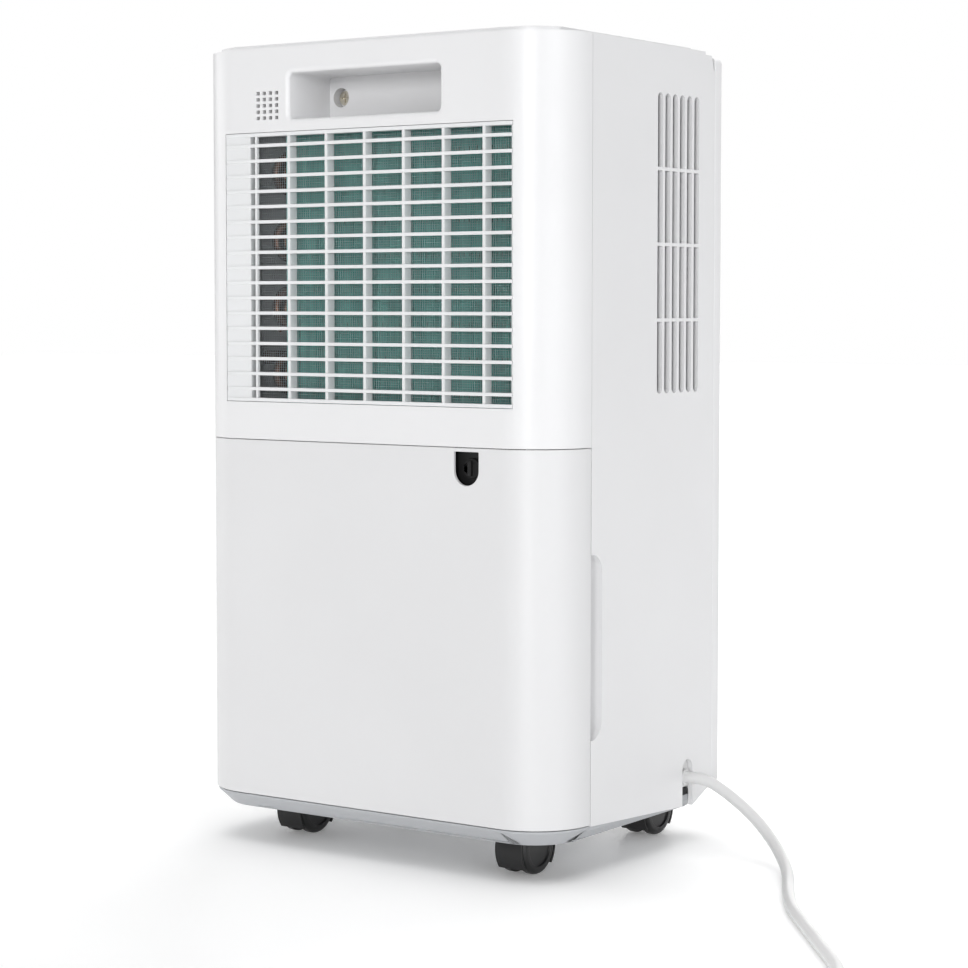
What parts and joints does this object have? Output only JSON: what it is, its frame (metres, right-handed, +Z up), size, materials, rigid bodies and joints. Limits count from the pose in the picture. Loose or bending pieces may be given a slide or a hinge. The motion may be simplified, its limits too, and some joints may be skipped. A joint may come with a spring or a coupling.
{
  "type": "dehumidifier",
  "caption": "Upright compressor dehumidifier: white cabinet on twin-wheel casters, rear air grille, slide-out water tank, handle recess, side air vents and mains lead.",
  "frame": {"origin": "on the floor, below the centre of the cabinet", "axes": "+Z up, +Y out of the rear face with the grille and the tank, +X towards the left side seen from the rear"},
  "size_m": [0.6175, 0.406, 0.495],
  "materials": {
    "shell_white": "fine matt moulded texture",
    "grille_white": "satin moulded",
    "tank_white": "fine matt moulded texture",
    "inner_plastic": "plain moulded",
    "base_grey": "fine matt moulded texture",
    "black_plastic": "satin moulded",
    "black_rubber": "matt",
    "wheel_black": "satin moulded",
    "window_black": "polished",
    "button_grey": "satin moulded",
    "filter_net": "open nylon net",
    "fin_teal": "thin coated fins",
    "fin_bare": "thin bare fins",
    "copper": "drawn tube",
    "steel": "zinc plated",
    "motor_steel": "pressed steel",
    "compressor_black": "baked enamel",
    "board_green": "solder mask",
    "capacitor_white": "plain moulded",
    "float_foam": "closed cell foam",
    "cord_white": "satin cable sheath",
    "pin_metal": "nickel plated"
  },
  "bodies": {
    "cabinet": {"base_tray": "base_grey", "front_housing": "shell_white", "front_panel": "shell_white", "rear_cover": "shell_white", "top_cover": "shell_white", "inner_chassis": "inner_plastic", "display_window": "window_black", "control_board": "board_green", "evaporator_fins": "fin_teal", "evaporator_tubes": "copper", "condenser_fins": "fin_bare", "condenser_tubes": "copper", "fan_orifice": "inner_plastic", "fan_motor": "motor_steel", "motor_bracket": "motor_steel", "compressor": "compressor_black", "compressor_feet": "black_rubber", "compressor_bolts": "steel", "terminal_cover": "black_plastic", "accumulator": "compressor_black", "refrigerant_pipes": "copper", "capillary_tube": "copper", "capacitor": "capacitor_white", "drip_tray": "black_plastic", "float_switch": "black_plastic", "humidity_sensor": "black_plastic", "handle_screw": "steel", "base_screws": "steel", "cord_bush": "cord_white", "cord_clip": "black_plastic", "power_cord": "cord_white", "cord_coil": "cord_white", "plug_body": "cord_white", "plug_pins": "pin_metal"},
    "tank": {"tank": "tank_white", "tank_lid": "tank_white", "float_pin": "steel"},
    "float": {"tank_float": "float_foam"},
    "filter": {"filter_frame": "grille_white", "filter_mesh": "filter_net"},
    "drain_plug": {"drain_plug": "black_rubber"},
    "fan": {"fan_wheel": "grille_white", "fan_shaft": "steel"},
    "power_button": {"power_button": "button_grey"},
    "mode_button": {"mode_button": "button_grey"},
    "fan_button": {"fan_button": "button_grey"},
    "humidity_button": {"humidity_button": "button_grey"},
    "timer_button": {"timer_button": "button_grey"},
    "caster_1": {"caster_hood_1": "black_plastic"},
    "wheels_1": {"caster_wheels_1": "wheel_black", "caster_axle_1": "steel"},
    "caster_2": {"caster_hood_2": "black_plastic"},
    "wheels_2": {"caster_wheels_2": "wheel_black", "caster_axle_2": "steel"},
    "caster_3": {"caster_hood_3": "black_plastic"},
    "wheels_3": {"caster_wheels_3": "wheel_black", "caster_axle_3": "steel"},
    "caster_4": {"caster_hood_4": "black_plastic"},
    "wheels_4": {"caster_wheels_4": "wheel_black", "caster_axle_4": "steel"}
  },
  "joints": [
    {"name": "tank_slide", "type": "slide", "parent": "cabinet", "child": "tank", "axis": [0, 1, 0], "range_m": [0, 0.12]},
    {"name": "float_swing", "type": "hinge", "parent": "tank", "child": "float", "pos_m": [0.1, 0.024, 0.205], "axis": [1, 0, 0], "range_deg": [0, 20]},
    {"name": "filter_swing", "type": "hinge", "parent": "cabinet", "child": "filter", "pos_m": [-0.1075, 0.094, 0.3588], "axis": [0, 0, 1], "range_deg": [0, 70]},
    {"name": "drain_plug_pull", "type": "slide", "parent": "cabinet", "child": "drain_plug", "axis": [0, 1, 0], "range_m": [0, 0.025]},
    {"name": "fan_spin", "type": "hinge", "parent": "cabinet", "child": "fan", "pos_m": [0, -0.03, 0.373], "axis": [0, 1, 0], "continuous": true},
    {"name": "power_press", "type": "slide", "parent": "cabinet", "child": "power_button", "axis": [0, 0, -1], "range_m": [0, 0.001], "stiffness_N_per_m": 400},
    {"name": "mode_press", "type": "slide", "parent": "cabinet", "child": "mode_button", "axis": [0, 0, -1], "range_m": [0, 0.001], "stiffness_N_per_m": 400},
    {"name": "fan_press", "type": "slide", "parent": "cabinet", "child": "fan_button", "axis": [0, 0, -1], "range_m": [0, 0.001], "stiffness_N_per_m": 400},
    {"name": "humidity_press", "type": "slide", "parent": "cabinet", "child": "humidity_button", "axis": [0, 0, -1], "range_m": [0, 0.001], "stiffness_N_per_m": 400},
    {"name": "timer_press", "type": "slide", "parent": "cabinet", "child": "timer_button", "axis": [0, 0, -1], "range_m": [0, 0.001], "stiffness_N_per_m": 400},
    {"name": "caster_swivel_1", "type": "hinge", "parent": "cabinet", "child": "caster_1", "pos_m": [0.084, 0.055, 0.034], "axis": [0, 0, 1], "continuous": true},
    {"name": "wheel_spin_1", "type": "hinge", "parent": "caster_1", "child": "wheels_1", "pos_m": [0.084, 0.046, 0.016], "axis": [1, 0, 0], "continuous": true},
    {"name": "caster_swivel_2", "type": "hinge", "parent": "cabinet", "child": "caster_2", "pos_m": [-0.097, 0.055, 0.034], "axis": [0, 0, 1], "continuous": true},
    {"name": "wheel_spin_2", "type": "hinge", "parent": "caster_2", "child": "wheels_2", "pos_m": [-0.097, 0.064, 0.016], "axis": [1, 0, 0], "continuous": true},
    {"name": "caster_swivel_3", "type": "hinge", "parent": "cabinet", "child": "caster_3", "pos_m": [0.084, -0.0645, 0.034], "axis": [0, 0, 1], "continuous": true},
    {"name": "wheel_spin_3", "type": "hinge", "parent": "caster_3", "child": "wheels_3", "pos_m": [0.084, -0.0735, 0.016], "axis": [1, 0, 0], "continuous": true},
    {"name": "caster_swivel_4", "type": "hinge", "parent": "cabinet", "child": "caster_4", "pos_m": [-0.097, -0.0645, 0.034], "axis": [0, 0, 1], "continuous": true},
    {"name": "wheel_spin_4", "type": "hinge", "parent": "caster_4", "child": "wheels_4", "pos_m": [-0.097, -0.0735, 0.016], "axis": [1, 0, 0], "continuous": true}
  ]
}
